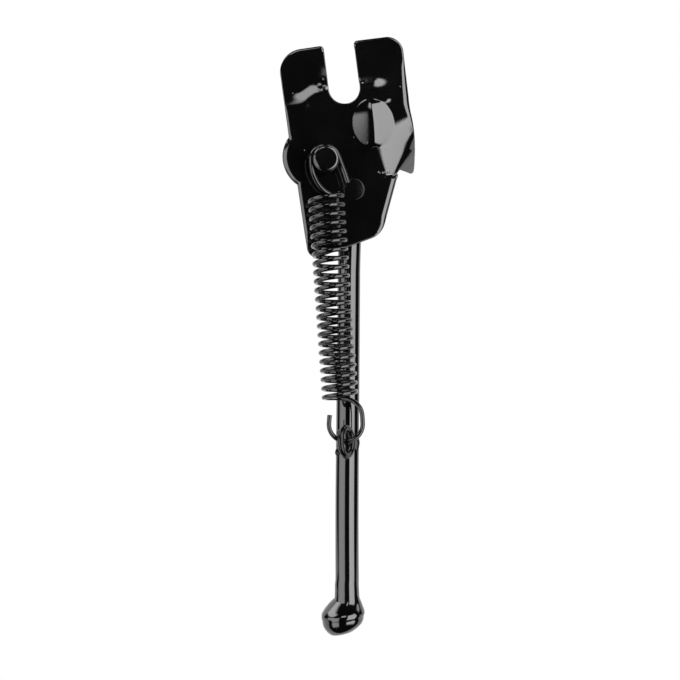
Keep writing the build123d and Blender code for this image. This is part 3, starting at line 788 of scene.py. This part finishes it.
def makeLegHead():
    # flattened, pierced end of the rod, behind the plate
    r0, r1, neck, hole = leg["head"], leg["rod"], leg["neck"], leg["hole"]
    touch = acos((r0 - r1) / neck)
    steps = leg["headSteps"] + 1
    ring = [(r0 * sin(a), r0 * cos(a)) for a in np.linspace(touch, 2 * pi - touch, steps)]
    ring += [(r1 * sin(a), neck + r1 * cos(a)) for a in np.linspace(-touch, touch, leg["neckSteps"] + 1)]
    bore = [(hole * sin(a), hole * cos(a)) for a in np.linspace(0, 2 * pi, steps)[:-1]]
    shape = bmesh.new()
    for loop in (ring, bore):
        line = []
        for x, down in loop:
            place = Vector((pivot.x, leg["headFrom"], pivot.z)) + legRight * x + legDown * down
            line.append(shape.verts.new(place * mm))
        for a, b in zip(line, line[1:] + line[:1]):
            shape.edges.new((a, b))
    bmesh.ops.triangle_fill(shape, edges=shape.edges[:], use_beauty=True)
    made = bmesh.ops.extrude_face_region(shape, geom=shape.faces[:])
    moved = [g for g in made["geom"] if isinstance(g, bmesh.types.BMVert)]
    bmesh.ops.translate(shape, verts=moved, vec=(0, (leg["headTo"] - leg["headFrom"]) * mm, 0))
    bmesh.ops.recalc_face_normals(shape, faces=shape.faces[:])
    mesh = bpy.data.meshes.new("leg_head")
    shape.to_mesh(mesh)
    shape.free()
    obj = placeMesh(mesh, legMat, "leg")
    mesh.set_sharp_from_angle(angle=radians(leg["headSharp"]))
    softEdges(obj, leg["headEdge"])


makeLeg()
makeLegHead()
print("leg drawn")


coil = {
    "wire": 0.8, "sides": 18, "radius": 5.5, "turns": 22.5, "perTurn": 40, "arcSteps": 48,
    "studNeck": 3.6, "gap": 0.3,
    "bow": (-0.1, 0.45),          # the coil's lower and upper ends stand this far left of the hooks' line
    "topHook": 4.75, "topLength": 17.3, "tailOut": 3.0, "tail": 9.6, "tailSteps": 12,
    "lowHook": 5.8, "lowLength": 15.3, "lowShift": 1.5, "lowSweep": 188.0, "lowSide": 0.9,
    "lowTail": 2.6, "lowTailSteps": 6,
    # wire between hook and coil: x and y as shares of the coil's radius, z past the coil's end
    "lowLead": ((-1.25, -0.18, -4.4), (-0.7, -0.68, -1.3), (0, -0.98, -0.55), (0.72, -0.7, -0.25)),
    "topLead": (
        (-0.8, -0.6, 0.35), (-0.46, -0.8, 1.0), (0, -0.75, 2.4), (0.48, -0.5, 5.2), (0.78, -0.2, 8.6),
    ),
    "cutEnd": ((0.08, 0.97), (0.14, 0.88), (0.16, 0.5)),      # rounding of the cut ends: lift and width
}
eye = {
    "drop": 59.6, "wire": 1.08, "height": 9.5, "steps": 72, "sides": 24,
    "turn": 15.0,         # it points this far left of the rod's front, degrees
    "hookOut": 8.35,      # where the spring's hook passes through
    "seat": 4.5, "skew": 2.2,         # the ring's inner side: out from the rod's middle, and to the right
    "reach": 11.4, "bias": 0.8,       # its outer side: out, and to the left
    # weld puddles: up the rod from the eye's middle, round the rod from its front, long, wide, proud
    "welds": (
        (3.6, -60.0, 1.3, 1.4, 0.7), (-3.0, -66.0, 1.9, 1.6, 0.95), (0.2, 52.0, 3.0, 2.2, 0.75),
        (0.2, 16.0, 3.4, 1.6, 0.7),
    ),
    "weldRings": 12, "weldSides": 32, "weldSunk": 0.15, "weldWaves": ((3, 0.10), (5, 0.06)), "weldFall": 1.2,
}
eyeRoot = bendLow + shankDown * eye["drop"]
eyeOut = shankFront * cos(radians(eye["turn"])) - legRight * sin(radians(eye["turn"]))


def tube(points, radius, count):
    # rings carried along the line without twist, with rounded cut ends
    last = len(points) - 1
    ways = [(points[min(last, i + 1)] - points[max(0, i - 1)]).normalized() for i in range(len(points))]
    angles = [2 * pi * k / count for k in range(count)]
    side = ways[0].orthogonal().normalized()
    rows = []
    for p, way in zip(points, ways):
        side = (side - way * side.dot(way)).normalized()
        other = way.cross(side)
        rows.append([p + (side * cos(a) + other * sin(a)) * radius for a in angles])
    for end, sign in ((0, -1), (-1, 1)):
        base, p, way = rows[end], points[end], ways[end]
        extra = [
            [p + (q - p) * share + way * sign * lift * radius for q in base]
            for lift, share in coil["cutEnd"]
        ]
        rows = extra[::-1] + rows if end == 0 else rows + extra
    verts = [q * mm for row in rows for q in row]
    faces = skin(rows, count)
    faces.append(tuple(range(count - 1, -1, -1)))
    faces.append(tuple(range(len(verts) - count, len(verts))))
    return verts, faces


def curveThrough(knots, startWay, endWay, parts=14):
    # smooth line through the knots, leaving and arriving along the given ways
    line = []
    for i in range(len(knots) - 1):
        a, b = knots[i], knots[i + 1]
        span = (b - a).length
        ta = startWay * span if i == 0 else (knots[i + 1] - knots[i - 1]).normalized() * span
        tb = endWay * span if i == len(knots) - 2 else (knots[i + 2] - a).normalized() * span
        for k in range(parts):
            s = k / parts
            line.append(
                a * (2 * s ** 3 - 3 * s ** 2 + 1) + ta * (s ** 3 - 2 * s ** 2 + s)
                + b * (3 * s ** 2 - 2 * s ** 3) + tb * (s ** 3 - s ** 2)
            )
    return line + [knots[-1]]


def lowHookLine():
    # from the cut end round the lower hook
    rl, steps = coil["lowHook"], coil["arcSteps"]
    middle = Vector((-coil["lowShift"], 0, rl - coil["lowLength"]))
    sweep = radians(coil["lowSweep"])
    arc = [sweep * (1 - k / steps) for k in range(steps + 1)]
    hook = [middle + Vector((-rl * cos(a), 0, -rl * sin(a))) for a in arc]
    tailWay = Vector((sin(sweep), 0, -cos(sweep))) * coil["lowTail"]
    parts = coil["lowTailSteps"]
    return [hook[0] + tailWay * (1 - k / parts) for k in range(parts)] + hook


def topHookLine(high):
    # over the stud, then the straight tail
    rt, steps, parts = coil["topHook"], coil["arcSteps"], coil["tailSteps"]
    middle = Vector((0, 0, high + coil["topLength"] - rt))
    sweep = pi - atan2(coil["tailOut"], coil["tail"])
    arc = [sweep * k / steps for k in range(1, steps + 1)]
    line = [middle + Vector((rt * cos(a), 0, rt * sin(a))) for a in arc]
    tailWay = Vector((-coil["tailOut"], 0, -coil["tail"]))
    return line + [line[-1] + tailWay * k / parts for k in range(1, parts + 1)]


def wireLine(high):
    # the whole wire in the spring's own axes: x to the left, y to the front, z up from the coil's lower end
    rc, turns = coil["radius"], coil["turns"]
    pitch = high / turns
    intoCoil = Vector((0, 2 * pi * rc, pitch)).normalized()
    outOfCoil = Vector((0, -2 * pi * rc, pitch)).normalized()
    up = Vector((0, 0, 1))
    line = lowHookLine()
    lead = [Vector((x * rc, y * rc, z)) for x, y, z in coil["lowLead"]]
    line += curveThrough([line[-1], *lead, Vector((rc, 0, 0))], up, intoCoil)[1:]
    steps = int(turns * coil["perTurn"])
    for k in range(1, steps + 1):
        a = 2 * pi * turns * k / steps
        line.append(Vector((rc * cos(a), rc * sin(a), high * k / steps)))
    lead = [Vector((x * rc, y * rc, high + z)) for x, y, z in coil["topLead"]]
    hookFoot = Vector((coil["topHook"], 0, high + coil["topLength"] - coil["topHook"]))
    line += curveThrough([line[-1], *lead, hookFoot], outOfCoil, up)[1:]
    return line + topHookLine(high)


def springLine():
    lowPoint = eyeRoot + eyeOut * eye["hookOut"] + legRight * (coil["lowSide"] - coil["lowShift"])
    up = (studAt - lowPoint).normalized()
    base = lowPoint + up * coil["lowLength"]
    top = studAt + up * (coil["studNeck"] + coil["wire"] + coil["gap"])
    high = (top - base).length - coil["topLength"]
    left = -legRight
    left = (left - up * left.dot(up)).normalized()
    toFront = up.cross(left)
    marks = (coil["lowHook"] - coil["lowLength"], 0, high, high + coil["topLength"] - 2 * coil["topHook"])
    line = []
    for p in wireLine(high):
        aside = p.x + np.interp(p.z, marks, (0, *coil["bow"], 0))
        line.append(base + left * aside + toFront * p.y + up * p.z)
    return line


def makeSpring():
    verts, faces = tube(springLine(), coil["wire"], coil["sides"])
    obj = linkMesh("spring_wire", verts, faces, wireMat, "spring")
    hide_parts("spring")


def makeEye():
    # a closed oval ring, welded on by its inner side
    inner = eyeRoot + eyeOut * eye["seat"] + legRight * eye["skew"]
    outer = eyeRoot + eyeOut * eye["reach"] - legRight * eye["bias"]
    middle, ringOut = (inner + outer) / 2, (outer - inner).normalized()
    deep, half = (outer - inner).length / 2, eye["height"] / 2
    facing = ringOut.cross(shankDown).normalized()
    rows = []
    for a in np.linspace(0, 2 * pi, eye["steps"] + 1)[:-1]:
        point = middle + ringOut * deep * cos(a) - shankDown * half * sin(a)
        way = (-ringOut * deep * sin(a) - shankDown * half * cos(a)).normalized()
        out = way.cross(facing)
        flank = way.cross(out)
        around = np.linspace(0, 2 * pi, eye["sides"] + 1)[:-1]
        rows.append([point + (out * cos(b) + flank * sin(b)) * eye["wire"] for b in around])
    verts = [p * mm for row in rows for p in row]
    faces = skin(rows + rows[:1], eye["sides"])
    faces = [tuple(i % len(verts) for i in f) for f in faces]
    obj = linkMesh("welded_eye", verts, faces, eyeMat, "leg")
    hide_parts("spring_eye")


def makeWelds():
    # lumps of weld spread on the rod round the eye; each one's place also sets how its rim waves
    verts, faces = [], []
    rod, rings, sides = leg["rod"], eye["weldRings"], eye["weldSides"]
    (waveA, sizeA), (waveB, sizeB) = eye["weldWaves"]
    for high, aside, long, wide, proud in eye["welds"]:
        first = len(verts)
        for j in range(rings + 1):
            r = j / rings
            lift = rod - eye["weldSunk"] + proud * (1 - r ** 2) ** eye["weldFall"]
            for k in range(sides):
                a = 2 * pi * k / sides
                lump = 1 + sizeA * sin(waveA * a + high) + sizeB * sin(waveB * a + aside)
                z = high + long * r * lump * sin(a)
                t = radians(aside) + wide * r * lump * cos(a) / rod
                side = shankFront * cos(t) + legRight * sin(t)
                verts.append((eyeRoot - shankDown * z + side * lift) * mm)
        for j in range(rings):
            a, b = first + j * sides, first + (j + 1) * sides
            for k in range(sides):
                n = (k + 1) % sides
                faces.append((a + k, b + k, b + n, a + n) if j else (a, b + k, b + n))
    obj = linkMesh("eye_welds", verts, faces, eyeMat, "leg")
    obj.data.validate()


# radii, and places along y with the front at minus
stud = {
    "head": 4.42, "headFront": -14.0, "neck": 3.6, "grooveFront": -11.4, "grooveBack": -9.0,
    "base": 4.5, "plateFront": -3.0, "shank": 3.0, "tail": 4.2, "tailEnd": 1.4,
    "edge": 0.9, "chamfer": 0.2, "sunk": 0.2, "sunkEdge": 0.4, "tailEdge": 0.5,
    "flat": (-0.901, -0.433), "flatFrom": 3.25, "flatTilt": 21.0,     # facet hammered at the lower left
    "flatShort": 0.3,     # the facet ends this far before the groove
    "faceRings": 22,
}
rivet = {
    "head": 3.6, "headFront": -3.12, "edge": 0.1, "shank": 3.0,
    "tailSeat": 7.4, "tail": 5.0, "tailEnd": 9.2, "tailEdge": 0.6,
}
turning = {"sides": 144, "middle": 0.01, "sharp": 40.0}       # middle: radius of the ring on the axis


def roundOver(radius, y, edge, way, parts=8):
    # quarter round from a flat end at y to the side; way is the end's outward direction along y
    angles = np.linspace(0, pi / 2, parts + 1)
    return [(radius - edge + edge * sin(a), y - way * edge * (1 - cos(a))) for a in angles]


def lathe(name, at, profile, replaced, shape=None):
    count = turning["sides"]
    angles = [2 * pi * k / count for k in range(count)]
    rows = [[(r * cos(a), r * sin(a), y) for a in angles] for r, y in profile]
    verts = []
    for row in rows:
        for x, z, y in row:
            verts.append(Vector((at[0] + x, shape(x, z, y) if shape else y, at[1] + z)) * mm)
    faces = [tuple(reversed(f)) for f in skin(rows, count)]
    obj = linkMesh(name, verts, faces, studMat, "bracket")
    obj.data.set_sharp_from_angle(angle=radians(turning["sharp"]))
    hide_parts(replaced)


def hammered(x, z, y):
    reach = x * stud["flat"][0] + z * stud["flat"][1] - stud["flatFrom"]
    if y < stud["grooveFront"] - stud["flatShort"] and reach > 0:
        return max(y, stud["headFront"] + tan(radians(stud["flatTilt"])) * reach)
    return y


def makeStud():
    face, head, neck, base = stud["headFront"], stud["head"], stud["neck"], stud["base"]
    chamfer, seat, middle = stud["chamfer"], stud["plateFront"] + stud["sunk"], turning["middle"]
    profile = [(r, face) for r in np.linspace(middle, head - stud["edge"], stud["faceRings"])]
    profile += roundOver(head, face, stud["edge"], -1, 10)[1:]
    profile += [(head, stud["grooveFront"] - chamfer), (head - chamfer, stud["grooveFront"])]
    profile += [(neck, stud["grooveFront"]), (neck, stud["grooveBack"])]
    profile += [(base - chamfer, stud["grooveBack"]), (base, stud["grooveBack"] + chamfer)]
    profile += [(base, stud["plateFront"]), (base - stud["sunkEdge"], seat)]
    profile += [(stud["shank"], seat), (stud["shank"], 0), (stud["tail"], 0)]
    profile += roundOver(stud["tail"], stud["tailEnd"], stud["tailEdge"], 1)[::-1]
    profile.append((middle, stud["tailEnd"]))
    lathe("turned_stud", (studAt.x, studAt.z), profile, "spring_stud", hammered)


def makeRivet():
    face, shank, tail, middle = rivet["headFront"], rivet["shank"], rivet["tail"], turning["middle"]
    profile = [(middle, face)] + roundOver(rivet["head"], face, rivet["edge"], -1)
    profile += [(rivet["head"], stud["plateFront"]), (shank, stud["plateFront"])]
    profile += [(shank, rivet["tailSeat"]), (tail, rivet["tailSeat"])]
    profile += roundOver(tail, rivet["tailEnd"], rivet["tailEdge"], 1)[::-1]
    profile.append((middle, rivet["tailEnd"]))
    lathe("closed_rivet", (pivot.x, pivot.z), profile, "pivot_rivet")


makeSpring()
makeEye()
makeWelds()
makeStud()
makeRivet()
print("spring hooked on")

finishOf = {
    "bracket_plate": plateMat,
    "spring_stud": studMat,
    "pivot_rivet": studMat,
    "thrust_washer": washerMat,
    "tail_washer": washerMat,
    "leg": legMat,
    "spring_eye": eyeMat,
    "spring": wireMat,
}
for name, mat in finishOf.items():
    node = frame["nodes"][name]
    node.data.materials.clear()
    node.data.materials.append(mat)
print("finishes on")
